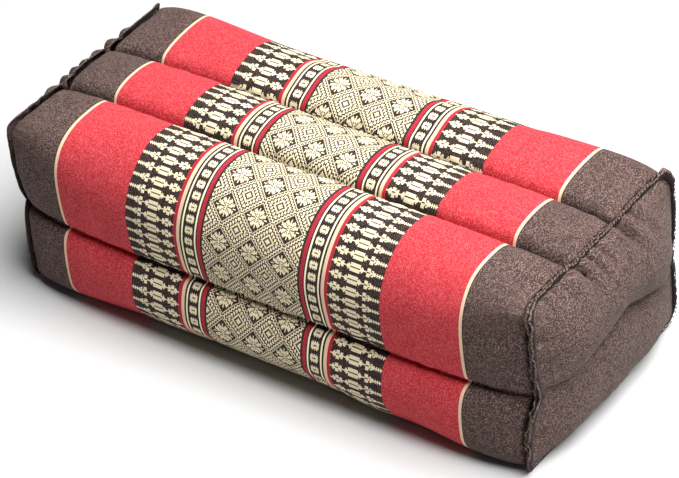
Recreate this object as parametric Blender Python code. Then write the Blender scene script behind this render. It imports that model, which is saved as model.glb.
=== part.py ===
"""Rectangular block cushion: a woven cover sewn in lengthwise channels, with two end panels.

The cushion lies on its underside, centred on the origin, which is on the floor under its middle.
X runs along its length, Y from front to back and Z up. All sizes are in metres.
"""

from collections import namedtuple
import math

import bmesh
import bpy

# Driving sizes
SEAM_TO_SEAM = 0.334
SHEET = 0.002
PIECE_GAP = 0.0003

# How the long sides draw in to the end seams
DRAW_POWER = 6.7
DRAW_ROOT = 0.6
BOW_POWER = 4.0
RINGS_ALONG = 30

# The end panels, blown out by the stuffing and creased at half height
PANEL_BULGE = 0.0072
PANEL_EDGE_POWER = 2.4
PANEL_EDGE_ROOT = 0.7
CREASE_DEPTH = 0.0042
CREASE_WIDTH = 0.0085
HOLLOW_EXTRA = 0.6
HOLLOW_AT_Y = 0.033
HOLLOW_WIDTH = 0.024

# The raised end seams: two raw edges overlocked together outside
SEAM_HEIGHT = 0.0033
SEAM_FOOT = 0.0004
SEAM_WIDTH = 0.0030
SEAM_WAVES = ((25, 0.0006, 0.4), (57, 0.0003, 1.9))
SEAM_LEAN = ((19, 0.0006, 1.1), (43, 0.0003, 0.2))
SEAM_FLOOR_CLEARANCE = 0.0007
TAIL_SPREAD = 1.1

# The seam's cross-section: places as shares of its width and height, and whether they lean
SeamPoint = namedtuple("SeamPoint", "across proud leans")
SEAM_PROFILE = (
    SeamPoint(0.00, 0.00, False),
    SeamPoint(0.15, 0.65, False),
    SeamPoint(0.50, 1.00, True),
    SeamPoint(0.95, 0.75, True),
    SeamPoint(1.00, 0.00, False),
)

# The outline round the cushion, seen from its right end. Each row is a sewn channel, the
# highest or lowest point of a lobe (crest) or its outermost point (side). Its place is given at
# the middle of the length and at the end seam, where end_x is how far the seam bows outwards.
# The arc from each row to the next is a quarter of a superellipse with the powers given, in
# the given number of steps. Crests below the floor are pressed flat by it.
Station = namedtuple("Station", "name mid_y mid_z end_y end_z end_x mid_power end_power steps")
OUTLINE = (
    Station("crest_top_front", -0.0375, 0.1115, -0.0420, 0.1058, -0.0018, 2.3, 7.0, 6),
    Station("side_top_front", -0.0764, 0.0745, -0.0675, 0.0820, 0.0021, 2.2, 1.3, 4),
    Station("channel_front", -0.0712, 0.0485, -0.0615, 0.0495, 0.0016, 2.0, 1.3, 4),
    Station("side_low_front", -0.0805, 0.0250, -0.0705, 0.0220, -0.0019, 2.8, 7.0, 6),
    Station("crest_low_front", -0.0430, -0.0030, -0.0420, 0.0030, -0.0037, 2.0, 1.3, 4),
    Station("channel_low_front", -0.0220, 0.0050, -0.0210, 0.0045, -0.0042, 2.0, 1.3, 4),
    Station("crest_low_middle", 0.0000, -0.0030, 0.0000, 0.0030, -0.0037, 2.0, 1.3, 4),
    Station("channel_low_back", 0.0220, 0.0050, 0.0210, 0.0045, -0.0042, 2.0, 1.3, 4),
    Station("crest_low_back", 0.0430, -0.0030, 0.0420, 0.0030, -0.0037, 2.8, 7.0, 6),
    Station("side_low_back", 0.0805, 0.0250, 0.0700, 0.0220, -0.0019, 2.0, 1.3, 4),
    Station("channel_back", 0.0712, 0.0485, 0.0615, 0.0495, 0.0016, 2.0, 1.3, 4),
    Station("side_top_back", 0.0740, 0.0780, 0.0655, 0.0820, 0.0021, 2.8, 7.0, 6),
    Station("crest_top_back", 0.0560, 0.1133, 0.0440, 0.1059, -0.0018, 2.0, 1.3, 4),
    Station("channel_top_back", 0.0200, 0.1048, 0.0180, 0.1040, -0.0016, 1.8, 1.3, 4),
    Station("crest_top_middle", -0.0010, 0.1127, -0.0020, 0.1058, -0.0010, 1.8, 1.3, 4),
    Station("channel_top_front", -0.0225, 0.1042, -0.0215, 0.1038, -0.0016, 1.8, 1.3, 4),
)

# The end panel's grid: steps up its height and across its depth, and where the outline's
# points start on it (its top front corner is half way along the first arc)
PANEL_UP = 14
PANEL_ACROSS = 22
CORNER_STEP = 3

PANEL_MIDDLE_Z = 0.0495

# Tails of cloth left at the end seam's corners, by the corner's place round the outline
Tail = namedtuple("Tail", "name corner length")
TAILS = (
    Tail("top_front", 0, 0.0012),
    Tail("low_front", PANEL_UP, 0.0042),
    Tail("low_back", PANEL_UP + PANEL_ACROSS, 0.0030),
    Tail("top_back", 2 * PANEL_UP + PANEL_ACROSS, 0.0042),
)

COLOURS = {
    "woven_cover": (0.52, 0.035, 0.055, 1.0),
    "end_panel": (0.085, 0.058, 0.052, 1.0),
    "end_seam": (0.060, 0.042, 0.038, 1.0),
}
CLOTH_ROUGHNESS = 0.85
SHARP_ANGLE = math.radians(50)


def mix(first, second, share):
    return first + (second - first) * share


def along(x):
    """How far x is from the middle towards either end seam, from 0 to 1."""
    return min(abs(x) / (SEAM_TO_SEAM / 2), 1.0)


def drawn_in(x):
    """How far the section at x has turned into the end seam's outline, from 0 to 1."""
    return 1.0 - (1.0 - along(x) ** DRAW_POWER) ** DRAW_ROOT


def arc(start, end, level_start, power, steps):
    """Points on a quarter superellipse from start towards end, leaving out its last point."""
    points = []
    for step in range(steps):
        turn = math.pi / 2 * step / steps
        going = math.sin(turn) ** (2 / power)
        coming = 1.0 - math.cos(turn) ** (2 / power)
        share_y, share_z = (going, coming) if level_start else (coming, going)
        points.append((mix(start[0], end[0], share_y), mix(start[1], end[1], share_z)))
    return points


def section(x):
    """The closed outline at x, as points in space that start at the top front corner."""
    turned = drawn_in(x)
    bowed = math.copysign(along(x) ** BOW_POWER, x)
    places = [(mix(s.mid_y, s.end_y, turned), mix(s.mid_z, s.end_z, turned)) for s in OUTLINE]
    points = []
    for index, station in enumerate(OUTLINE):
        after = OUTLINE[(index + 1) % len(OUTLINE)]
        power = mix(station.mid_power, station.end_power, turned)
        level_start = index % 2 == 0
        flat = arc(places[index], places[(index + 1) % len(OUTLINE)], level_start, power,
                   station.steps)
        for step, (y, z) in enumerate(flat):
            ease = (1.0 - math.cos(math.pi * step / station.steps)) / 2
            bow = mix(station.end_x, after.end_x, ease) * bowed
            points.append((x + bow, y, max(z, 0.0)))
    return points[CORNER_STEP:] + points[:CORNER_STEP]


def edge_rise(distance, half_span):
    """Rise of a blown-out panel, from 0 at its edge to 1 at its middle."""
    inward = min(max(distance / half_span, 0.0), 1.0)
    return (1.0 - (1.0 - inward) ** PANEL_EDGE_POWER) ** PANEL_EDGE_ROOT


def panel_edges(side):
    """The end seam's outline as the four edges of the panel's grid."""
    loop = section(side * SEAM_TO_SEAM / 2)
    front = [loop[PANEL_UP - j] for j in range(PANEL_UP + 1)]
    bottom = [loop[PANEL_UP + i] for i in range(PANEL_ACROSS + 1)]
    back = [loop[PANEL_UP + PANEL_ACROSS + j] for j in range(PANEL_UP + 1)]
    top = [loop[-i] for i in range(PANEL_ACROSS + 1)]
    return front, bottom, back, top


def stretched_grid(front, bottom, back, top):
    """Rows of points, bottom to top and front to back, stretched between four edges."""
    rows = []
    for j in range(PANEL_UP + 1):
        v = j / PANEL_UP
        row = []
        for i in range(PANEL_ACROSS + 1):
            u = i / PANEL_ACROSS
            point = []
            for axis in range(3):
                upwards = mix(bottom[i][axis], top[i][axis], v)
                across = mix(front[j][axis], back[j][axis], u)
                corners = mix(mix(bottom[0][axis], bottom[-1][axis], u),
                              mix(top[0][axis], top[-1][axis], u), v)
                point.append(upwards + across - corners)
            row.append(point)
        rows.append(row)
    return rows


def panel_surface(side):
    """The end of the stuffing: blown out, with its crease and the hollow on the crease."""
    front, bottom, back, top = panel_edges(side)
    rows = stretched_grid(front, bottom, back, top)
    crease_heights = [point[2] for point in rows[PANEL_UP // 2]]
    for j, row in enumerate(rows):
        for i, point in enumerate(row):
            _, y, z = point
            from_side = min(y - front[j][1], back[j][1] - y)
            from_top = min(z - bottom[i][2], top[i][2] - z)
            rise = edge_rise(from_side, (back[j][1] - front[j][1]) / 2)
            rise *= edge_rise(from_top, (top[i][2] - bottom[i][2]) / 2)
            fold = math.exp(-abs(z - crease_heights[i]) / CREASE_WIDTH)
            hollow = math.exp(-((y - HOLLOW_AT_Y) / HOLLOW_WIDTH) ** 2)
            crease = CREASE_DEPTH * fold * (1.0 + HOLLOW_EXTRA * hollow)
            point[0] += side * rise * (PANEL_BULGE - crease)
    return rows


def cloth_material(name, colour):
    material = bpy.data.materials.new(name)
    material.use_nodes = True
    shader = material.node_tree.nodes["Principled BSDF"]
    shader.inputs["Base Color"].default_value = colour
    shader.inputs["Roughness"].default_value = CLOTH_ROUGHNESS
    shader.inputs["Metallic"].default_value = 0.0
    material.diffuse_color = colour
    return material


def add_object(name, vertices, faces, material):
    """Make an object of a closed mesh, with its faces turned outwards and shaded smooth."""
    mesh = bpy.data.meshes.new(name)
    mesh.from_pydata(vertices, [], faces)
    shape = bmesh.new()
    shape.from_mesh(mesh)
    bmesh.ops.recalc_face_normals(shape, faces=shape.faces)
    shape.to_mesh(mesh)
    shape.free()
    mesh.materials.append(material)
    mesh.shade_smooth()
    mesh.set_sharp_from_angle(angle=SHARP_ANGLE)
    thing = bpy.data.objects.new(name, mesh)
    bpy.context.scene.collection.objects.link(thing)
    return thing


def strip(first, second, closed):
    """Quads between two equally long lists of vertex numbers."""
    count = len(first)
    last = count if closed else count - 1
    return [(first[k], first[(k + 1) % count], second[(k + 1) % count], second[k])
            for k in range(last)]


def grid_rim(numbers):
    """The vertex numbers round a grid, in the outline's own order."""
    front = [numbers[PANEL_UP - j][0] for j in range(PANEL_UP)]
    bottom = [numbers[0][i] for i in range(PANEL_ACROSS)]
    back = [numbers[j][PANEL_ACROSS] for j in range(PANEL_UP)]
    top = [numbers[PANEL_UP][PANEL_ACROSS - i] for i in range(PANEL_ACROSS)]
    return front + bottom + back + top


def add_grid(vertices, faces, rows):
    """Append a grid of points and its quads; gives back the vertex numbers."""
    numbers = []
    for row in rows:
        start = len(vertices)
        vertices.extend(tuple(point) for point in row)
        numbers.append(list(range(start, start + len(row))))
    for lower, upper in zip(numbers, numbers[1:]):
        faces.extend(strip(lower, upper, False))
    return numbers


def woven_cover(material):
    """The stuffed cover: sections along its length, closed by the ends of the stuffing."""
    vertices = []
    faces = []
    rims = [grid_rim(add_grid(vertices, faces, panel_surface(-1)))]
    for ring in range(1, RINGS_ALONG):
        x = SEAM_TO_SEAM / 2 * math.sin(math.pi * (ring / RINGS_ALONG - 0.5))
        start = len(vertices)
        vertices.extend(section(x))
        rims.append(list(range(start, len(vertices))))
    rims.append(grid_rim(add_grid(vertices, faces, panel_surface(1))))
    for first, second in zip(rims, rims[1:]):
        faces.extend(strip(first, second, True))
    return add_object("woven_cover", vertices, faces, material)


def end_panel(name, side, material):
    """A sheet that follows the end of the stuffing a gap away from it."""
    vertices = []
    faces = []
    rims = []
    for offset in (PIECE_GAP, PIECE_GAP + SHEET):
        rows = [[(x + side * offset, y, z) for x, y, z in row] for row in panel_surface(side)]
        rims.append(grid_rim(add_grid(vertices, faces, rows)))
    faces.extend(strip(rims[0], rims[1], True))
    return add_object(name, vertices, faces, material)


def wave(turns, waves):
    return sum(size * math.sin(math.tau * count * turns + phase) for count, size, phase in waves)


def seam_height(turns):
    """How far the seam stands proud at a share of the way round, with its tails."""
    count = 2 * (PANEL_UP + PANEL_ACROSS)
    height = SEAM_HEIGHT + wave(turns, SEAM_WAVES)
    for tail in TAILS:
        steps = abs((turns * count - tail.corner + count / 2) % count - count / 2)
        height += tail.length * math.exp(-(steps / TAIL_SPREAD) ** 2)
    return height


def outward(before, after, point):
    """The unit direction across the outline at a point, away from the panel's middle."""
    along_y = after[1] - before[1]
    along_z = after[2] - before[2]
    length = math.hypot(along_y, along_z)
    out_y = along_z / length
    out_z = -along_y / length
    if out_y * point[1] + out_z * (point[2] - PANEL_MIDDLE_Z) < 0:
        return -out_y, -out_z
    return out_y, out_z


def end_seam(name, side, material):
    """A wavy ridge round an end panel, with tails at the corners, clear of both cloths."""
    path = []
    loop = section(side * SEAM_TO_SEAM / 2)
    for point, after in zip(loop, loop[1:] + loop[:1]):
        path.append(point)
        path.append(tuple(mix(a, b, 0.5) for a, b in zip(point, after)))
    vertices = []
    rings = []
    for index, point in enumerate(path):
        turns = index / len(path)
        out_y, out_z = outward(path[index - 1], path[(index + 1) % len(path)], point)
        height = seam_height(turns)
        lean = wave(turns, SEAM_LEAN)
        start = len(vertices)
        for spot in SEAM_PROFILE:
            beyond = SEAM_FOOT + spot.across * SEAM_WIDTH + (lean if spot.leans else 0.0)
            proud = PIECE_GAP + spot.proud * height
            low = max(point[2] + out_z * proud, SEAM_FLOOR_CLEARANCE)
            vertices.append((point[0] + side * beyond, point[1] + out_y * proud, low))
        rings.append(list(range(start, len(vertices))))
    faces = []
    for index, ring in enumerate(rings):
        faces.extend(strip(ring, rings[(index + 1) % len(rings)], True))
    return add_object(name, vertices, faces, material)


def clear_scene():
    for thing in list(bpy.data.objects):
        bpy.data.objects.remove(thing, do_unlink=True)


def main():
    clear_scene()
    woven_cover(cloth_material("woven_cloth", COLOURS["woven_cover"]))
    panel_cloth = cloth_material("panel_cloth", COLOURS["end_panel"])
    seam_cloth = cloth_material("seam_cloth", COLOURS["end_seam"])
    for hand, side in (("right", 1), ("left", -1)):
        end_panel("end_panel_" + hand, side, panel_cloth)
        end_seam("end_seam_" + hand, side, seam_cloth)


main()
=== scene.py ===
"""Looks of a rectangular block cushion: its woven cover, end panels, end seams and stitches.

The cushion lies on its underside. X runs along its length, Y from front to back and Z up, and
all sizes are in metres. On the cover's cloth, U runs along the length and V round the girth.
"""

from collections import namedtuple
import math

import bmesh
import bpy
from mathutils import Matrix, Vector, noise
import numpy as np


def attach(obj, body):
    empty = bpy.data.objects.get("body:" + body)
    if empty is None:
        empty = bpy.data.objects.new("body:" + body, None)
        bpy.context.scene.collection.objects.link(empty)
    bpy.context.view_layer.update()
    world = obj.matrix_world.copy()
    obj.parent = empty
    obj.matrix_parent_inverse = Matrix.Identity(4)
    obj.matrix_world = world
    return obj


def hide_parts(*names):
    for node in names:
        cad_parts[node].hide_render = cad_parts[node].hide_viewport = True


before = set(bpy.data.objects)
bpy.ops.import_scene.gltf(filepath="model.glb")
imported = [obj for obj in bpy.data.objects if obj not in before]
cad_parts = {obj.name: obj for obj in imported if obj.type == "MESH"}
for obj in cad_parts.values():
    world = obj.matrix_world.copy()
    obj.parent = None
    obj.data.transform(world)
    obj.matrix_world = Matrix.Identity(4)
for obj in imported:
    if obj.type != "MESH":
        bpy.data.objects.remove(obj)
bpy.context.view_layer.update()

bl_info = {
    "name": "Woven Block Cushion",
    "version": (1, 0, 0),
    "blender": (4, 5, 0),
    "location": "3D View > Sidebar > Cushion",
    "description": "Builds a stuffed block cushion in figured cloth, with its seams and stage",
    "category": "Object",
}

# The cushion's form. The draw values say how late and how roundly the cover draws in towards
# its end seams, and the bow power how late the lobes' uneven ends begin.
SEAM_TO_SEAM = 0.334
HALF = SEAM_TO_SEAM / 2
DRAW_POWER = 6.7
DRAW_ROOT = 0.6
BOW_POWER = 4.0
PIECE_GAP = 0.0003
PANEL_MIDDLE_Z = 0.0495

# The outline round the cushion, seen from its right end, starting at a sewn channel below. Each
# row is a channel, the highest or lowest point of a lobe (crest) or its outermost point (side),
# placed at the middle of the length and at the end seam, where end_x is how far the seam bows
# outwards. The arc to the next row is a quarter of a superellipse with the powers given.
# cloth is the row's place on the flat cloth, V, and steps the mesh's steps to the next row.
Station = namedtuple("Station", "name mid_y mid_z end_y end_z end_x mid_power end_power cloth steps")
OUTLINE = (
    Station("channel_low_back", 0.0220, 0.0050, 0.0210, 0.0045, -0.0042, 2.0, 1.3, -0.3080, 8),
    Station("crest_low_back", 0.0430, -0.0030, 0.0420, 0.0030, -0.0037, 2.8, 7.0, -0.2845, 18),
    Station("side_low_back", 0.0805, 0.0250, 0.0700, 0.0220, -0.0019, 2.6, 1.6, -0.2300, 10),
    Station("channel_back", 0.0712, 0.0485, 0.0615, 0.0495, 0.0016, 2.6, 1.6, -0.2030, 10),
    Station("side_top_back", 0.0740, 0.0780, 0.0655, 0.0820, 0.0021, 2.8, 7.0, -0.1730, 18),
    Station("crest_top_back", 0.0560, 0.1133, 0.0440, 0.1059, -0.0018, 2.3, 1.5, -0.1278, 16),
    Station("channel_top_back", 0.0200, 0.1048, 0.0180, 0.1040, -0.0016, 2.2, 1.5, -0.0889, 10),
    Station("crest_top_middle", -0.0010, 0.1127, -0.0020, 0.1058, -0.0010, 2.2, 1.5, -0.0609, 10),
    Station("channel_top_front", -0.0225, 0.1042, -0.0215, 0.1038, -0.0016, 2.2, 1.5, -0.0365, 8),
    Station("crest_top_front", -0.0375, 0.1115, -0.0420, 0.1058, -0.0018, 2.3, 7.0, -0.0186, 24),
    Station("side_top_front", -0.0764, 0.0745, -0.0675, 0.0820, 0.0021, 2.8, 1.6, 0.0451, 12),
    Station("channel_front", -0.0712, 0.0485, -0.0615, 0.0495, 0.0016, 2.7, 1.6, 0.0729, 12),
    Station("side_low_front", -0.0805, 0.0250, -0.0705, 0.0220, -0.0019, 2.8, 7.0, 0.0987, 20),
    Station("crest_low_front", -0.0430, -0.0030, -0.0420, 0.0030, -0.0037, 2.0, 1.3, 0.1520, 8),
    Station("channel_low_front", -0.0220, 0.0050, -0.0210, 0.0045, -0.0042, 2.0, 1.3, 0.1755, 8),
    Station("crest_low_middle", 0.0000, -0.0030, 0.0000, 0.0030, -0.0037, 2.0, 1.3, 0.2000, 8),
)
CLOTH_END = 0.2245
AROUND = sum(station.steps for station in OUTLINE)
CHANNEL_CROWDING = 1.35
CHANNEL_ON_SIDE = 0.05
END_HOLLOW = 0.020
PINCH_REACH = 0.0022
RINGS = 136
END_CROWDING = 0.35
FINE_DETAIL = 6

# The stuffing moves the cloth, but not where it is sewn or rests on the floor
SEWN_REACH = 0.004
RESTING_HEIGHT = 0.0005
SWELLING_FRAMES = 20
SWELLING_QUALITY = 4

# The sewn channels, with the height of the puckers along each. Puckers start a little away from
# their channel, end at the limit, and are stronger in a crumpled stretch at the front's middle.
CHANNEL_PUCKERS = {
    "channel_top_front": 0.0010,
    "channel_top_back": 0.0012,
    "channel_front": 0.0014,
    "channel_back": 0.0014,
    "channel_low_front": 0.0006,
    "channel_low_back": 0.0006,
}
PUCKER_START = 0.0015
PUCKER_LIMIT = 0.045
CRUMPLE_EXTRA = 0.9
CRUMPLE_X = 0.002
CRUMPLE_REACH = 0.030

# Share of the full crevice depth in the channels on the front and back, and the crevices' form
SIDE_CREVICE_SHARE = 0.30
CREVICE_POWER = 1.5

# Random waves in the cloth: their lengths along and round it, and their seed
Wave = namedtuple("Wave", "along around seed")
LUMP_WAVE = Wave(0.045, 0.040, 3.0)
GATHER_WAVE = Wave(0.060, 0.0075, 9.0)
FINE_GATHER_WAVE = Wave(0.030, 0.0035, 17.0)
PUCKER_WAVE = Wave(0.0075, 0.035, 30.0)
FINE_PUCKER_WAVE = Wave(0.0038, 0.020, 50.0)
PANEL_GATHER_WAVE = Wave(0.006, 0.030, 70.0)
PANEL_LUMP_WAVE = Wave(0.030, 0.030, 80.0)
FINE_WAVE_SHARE = 0.5

# Stripes woven across the cover, from its middle outwards on both sides, by |U|
Stripe = namedtuple("Stripe", "name inner outer colour")
STRIPES = (
    Stripe("lattice_ground", 0.0000, 0.0326, "dark"),
    Stripe("crimson_strip", 0.0326, 0.0348, "crimson"),
    Stripe("crimson_edge", 0.0348, 0.0356, "dark"),
    Stripe("inner_cream_line", 0.0356, 0.0366, "cream"),
    Stripe("flower_ground", 0.0366, 0.0441, "dark"),
    Stripe("outer_cream_line", 0.0441, 0.0451, "cream"),
    Stripe("dark_line", 0.0451, 0.0463, "dark"),
    Stripe("peach_line", 0.0463, 0.0484, "peach"),
    Stripe("red_line", 0.0484, 0.0506, "crimson"),
    Stripe("column_ground", 0.0506, 0.0829, "dark"),
    Stripe("red_field", 0.0829, 0.1304, "red"),
    Stripe("border_line", 0.1304, 0.1322, "peach"),
    Stripe("border_edge", 0.1322, 0.1327, "dark"),
    Stripe("brown_end", 0.1327, 0.3000, "brown"),
)

# Weaving charts, # for a cream thread. Row 0 is a motif's middle row, and the rows below it are
# woven above it too. The lattice chart is a quarter of the repeat, from a rosette's middle at
# its top left to a small diamond's middle at its bottom right.
LATTICE_CHART = (
    "##.....###...#..",
    "#.####......#.##",
    "##.#####...#..#.",
    "#.#.####..#.###.",
    "####.#.#.#..#...",
    "#####...#.###.##",
    "#.###..#..#...##",
    "#..#..#.###.##.#",
    "#....#..#...##..",
    "....#.###.##.#.#",
    "...#..#...##..##",
    "..#.###.##.#.##.",
    ".#..#...##..##..",
    "#.###.##.#.##..#",
    "..#...##..##..##",
    "###.##.#.##..###",
)
STRIP_FLOWER_CHART = (
    "..##.",
    "####.",
    "####.",
    "#.#..",
)
COLUMN_FLOWER_CHART = (
    "#####...######",
    "..#########...",
    "...#.###.##...",
    ".....###......",
)
BEAD_CHART = (
    "###.........######",
    "###############...",
    ".#.#########.#....",
    "...#########......",
)
TAIL_CHART = (
    "...############",
    "####.###.#.#.#.",
    "###.##.........",
    "###............",
)
LATTICE_REPEAT_U = 0.0206
LATTICE_EDGE = 0.0313
LATTICE_REPEAT_V = 0.0210
ROSETTE_V = 0.0140
ROW_PITCH = 0.0070
ROW_THREADS = 10
STRIP_FLOWER_U = 0.04025

# Motifs of the column band, by the |U| where each chart starts
Motif = namedtuple("Motif", "name chart start")
COLUMN_MOTIFS = (
    Motif("column_flower", COLUMN_FLOWER_CHART, 0.05025),
    Motif("bead", BEAD_CHART, 0.05985),
    Motif("tail_flower", TAIL_CHART, 0.07245),
)

# The crease across each end panel, from front to back: its height and its depth
Crease = namedtuple("Crease", "y z depth")
CREASE = (
    Crease(-0.0700, 0.0505, 0.0050),
    Crease(-0.0620, 0.0515, 0.0065),
    Crease(-0.0540, 0.0520, 0.0080),
    Crease(-0.0450, 0.0518, 0.0085),
    Crease(-0.0390, 0.0535, 0.0070),
    Crease(-0.0310, 0.0580, 0.0050),
    Crease(-0.0240, 0.0605, 0.0085),
    Crease(-0.0080, 0.0625, 0.0145),
    Crease(0.0080, 0.0630, 0.0175),
    Crease(0.0160, 0.0605, 0.0185),
    Crease(0.0240, 0.0568, 0.0190),
    Crease(0.0320, 0.0540, 0.0185),
    Crease(0.0400, 0.0500, 0.0165),
    Crease(0.0530, 0.0430, 0.0105),
    Crease(0.0700, 0.0380, 0.0060),
)

# Soft folds in the end panels, running down from the seam: troughs are below 0, ridges above
Fold = namedtuple("Fold", "from_y from_z to_y to_z height width")
PANEL_FOLDS = (
    Fold(-0.0225, 0.1075, -0.0170, 0.0890, -0.0040, 0.0020),
    Fold(-0.0290, 0.1070, -0.0290, 0.0800, 0.0016, 0.0030),
    Fold(-0.0175, 0.1060, -0.0120, 0.0800, 0.0018, 0.0026),
    Fold(-0.0130, 0.1060, -0.0080, 0.0900, -0.0020, 0.0018),
    Fold(-0.0090, 0.1060, -0.0020, 0.0800, 0.0015, 0.0025),
    Fold(-0.0055, 0.1060, 0.0000, 0.0920, -0.0014, 0.0016),
    Fold(-0.0010, 0.1060, 0.0050, 0.0860, 0.0010, 0.0025),
    Fold(0.0155, 0.1075, 0.0220, 0.0890, -0.0038, 0.0021),
    Fold(0.0100, 0.1060, 0.0150, 0.0830, 0.0016, 0.0027),
    Fold(0.0215, 0.1060, 0.0330, 0.0780, 0.0021, 0.0032),
    Fold(0.0275, 0.1060, 0.0370, 0.0890, -0.0018, 0.0021),
    Fold(0.0340, 0.1060, 0.0440, 0.0840, 0.0012, 0.0028),
    Fold(-0.0450, 0.1060, -0.0410, 0.0920, -0.0016, 0.0019),
    Fold(-0.0380, 0.1060, -0.0350, 0.0900, -0.0013, 0.0017),
    Fold(-0.0530, 0.1040, -0.0490, 0.0940, -0.0012, 0.0019),
    Fold(-0.0650, 0.0860, -0.0530, 0.0810, -0.0014, 0.0021),
    Fold(-0.0650, 0.0720, -0.0540, 0.0700, -0.0011, 0.0022),
    Fold(-0.0640, 0.0590, -0.0430, 0.0590, 0.0012, 0.0036),
    Fold(0.0640, 0.0600, 0.0480, 0.0580, 0.0012, 0.0040),
    Fold(-0.0660, 0.0330, -0.0530, 0.0370, -0.0014, 0.0022),
    Fold(-0.0670, 0.0200, -0.0550, 0.0260, -0.0012, 0.0022),
    Fold(0.0100, 0.0040, 0.0140, 0.0180, -0.0012, 0.0030),
    Fold(-0.0250, 0.0040, -0.0220, 0.0170, -0.0012, 0.0030),
)
PANEL_FOLD_SHARE = 1.3
FOLD_FADE_POWER = 1.5

# Steps of each panel's mesh, and how much closer they lie at its seam
PANEL_UP = 116
PANEL_ACROSS = 132
PANEL_CROWDING = 0.7

# Form of the panels' lobes and of the upper one's overhang, and what differs at the left end
CORNER_TALLNESS = 1.2
PANEL_RIM = 0.004
UPPER_POWER = 2.0
LOWER_POWER = 3.0
OVERHANG_ABOVE = 0.007
OVERHANG_BELOW = 0.002
OVERHANG_FULL_DEPTH = 0.011
PANEL_GATHER_REACH = 0.010
PANEL_GATHER_SHARE = 2.0
LEFT_SIDE_POWER = 2.8
LEFT_TOP_STRETCH = 1.35
LEFT_GATHER_SHARE = 0.4

# The raised end seams: flatter where the cushion rests on them, and fuller up the right front.
# Their direction is measured over a few of their points.
SEAM_POINTS = 720
DIRECTION_STEPS = 3
SEAM_LOW_Z = 0.003
SEAM_LOW_REACH = 0.012
UPRIGHT_SEAM_Y = -0.054
UPRIGHT_SEAM_REACH = 0.010
UPRIGHT_SEAM_EXTRA = 0.35
Tail = namedtuple("Tail", "name y z length spread")
TAILS = (
    Tail("top_front", -0.0660, 0.1030, 0.0004, 0.0032),
    Tail("low_front", -0.0690, 0.0030, 0.0028, 0.0032),
    Tail("low_back", 0.0690, 0.0030, 0.0018, 0.0032),
    Tail("top_back", 0.0630, 0.1035, 0.0021, 0.0048),
)

# Random waves of the seam's edges: their size, their length along the seam, how unlike the two
# edges are, and their seed
SeamWave = namedtuple("SeamWave", "size length apart seed")
HEIGHT_WAVES = (SeamWave(0.22, 0.011, 0.0, 5.0), SeamWave(0.12, 0.004, 0.0, 8.0))
LEAN_WAVES = (SeamWave(0.00110, 0.0075, 0.6, 11.0), SeamWave(0.00090, 0.0030, 2.0, 13.0))
DIP_WAVES = (SeamWave(0.45, 0.0030, 3.0, 19.0),)

# The seam's cross-section: two raw edges side by side. across and proud are shares of its width
# and height; edge says which of the two edges the point belongs to, for their sideways lean.
SeamPoint = namedtuple("SeamPoint", "across proud edge")
SEAM_FOOT = -0.40
SEAM_PROFILE = (
    SeamPoint(0.00, SEAM_FOOT, 0),
    SeamPoint(0.02, 0.55, 1),
    SeamPoint(0.08, 0.92, 1),
    SeamPoint(0.24, 1.00, 1),
    SeamPoint(0.40, 0.86, 1),
    SeamPoint(0.49, 0.25, 0),
    SeamPoint(0.58, 0.80, 2),
    SeamPoint(0.74, 0.96, 2),
    SeamPoint(0.92, 0.86, 2),
    SeamPoint(1.00, 0.50, 2),
    SeamPoint(1.00, SEAM_FOOT, 0),
)
SEAM_LEAN_START = 1.5
SEAM_FLOOR_CLEARANCE = 0.0007

# The seam's own cloth map has one step for each point of the profile. Its cloth keeps its own colour
# on the raised steps of the first and second edge, and has shade painted dark on the steps in the
# folds
SEAM_UV_STEP = 0.001
FIRST_EDGE_STEPS = (1.5, 4.3)
SECOND_EDGE_STEPS = (5.7, 8.6)

# Overlock stitches: where they start, as a share of the seam's height, and their size, as shares
# of its pitch, width and height. Below them are the steps of a thread's bend and of its round.
STITCH_BASE = 0.2
STITCH_LENGTH = 0.8
STITCH_WIDTH = 1.1
STITCH_RISE = 2.4
STITCH_FLOOR_CLEARANCE = 0.0022
STITCH_BENDS = 7
STITCH_SIDES = 6

# The look of the yarns. Flecks have soft edges, a cream float fades to the dark ground beyond its
# flat middle (partly the ground between threads, partly painted shade where the float rounds away),
# blotches vary the tone of all the cloth at random, and strands are the sewing thread's own twist.
FLECK_SOFTNESS = 0.16
RANDOM_SHARE = 0.80
SLUB_SHARE = 0.20
SLUB_SCALE = 1.5
RIB_SHARE = 0.6
BLOTCH_SCALE = 0.03
BLOTCH_STRENGTH = 0.24
BLOTCH_DARKEST = 0.88
FLOAT_FLAT = 0.27
FLOAT_ROUNDING = 0.1
FLOAT_EDGE_GAP_AND_SHADE = -2.7
FLOAT_HEIGHT = 0.8
FLOAT_PEACH = 0.5
SHEEN = 0.03
BUMP_STRENGTH = 0.6
STRAND_SCALE = 2500.0
STRAND_CONTRAST = 1.2
STRAND_DARKEST = 0.4

# The stage
FLOOR_REACH = 6.0
LIGHT_TARGET = (0.0, 0.0, 0.05)
KEY_PLACE = (0.58, 0.15, 1.46)
KEY_SIZE = 1.5
FILL_PLACE = (1.20, 0.00, 1.10)
FILL_SIZE = 0.8
CAMERA_PLACE = (0.87243, -1.05606, 1.08074)
CAMERA_DEGREES = (52.68807, 5.01945, 35.74833)
FILM_WIDTH = 36.0


def colour_property(name, description, default):
    return bpy.props.FloatVectorProperty(
        name=name, description=description, default=default, size=4, min=0.0, max=1.0,
        subtype="COLOR")


def length_property(name, description, default):
    return bpy.props.FloatProperty(
        name=name, description=description, default=default, min=0.0, precision=5,
        subtype="DISTANCE", unit="LENGTH")


def number_property(name, description, default):
    return bpy.props.FloatProperty(name=name, description=description, default=default)


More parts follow.
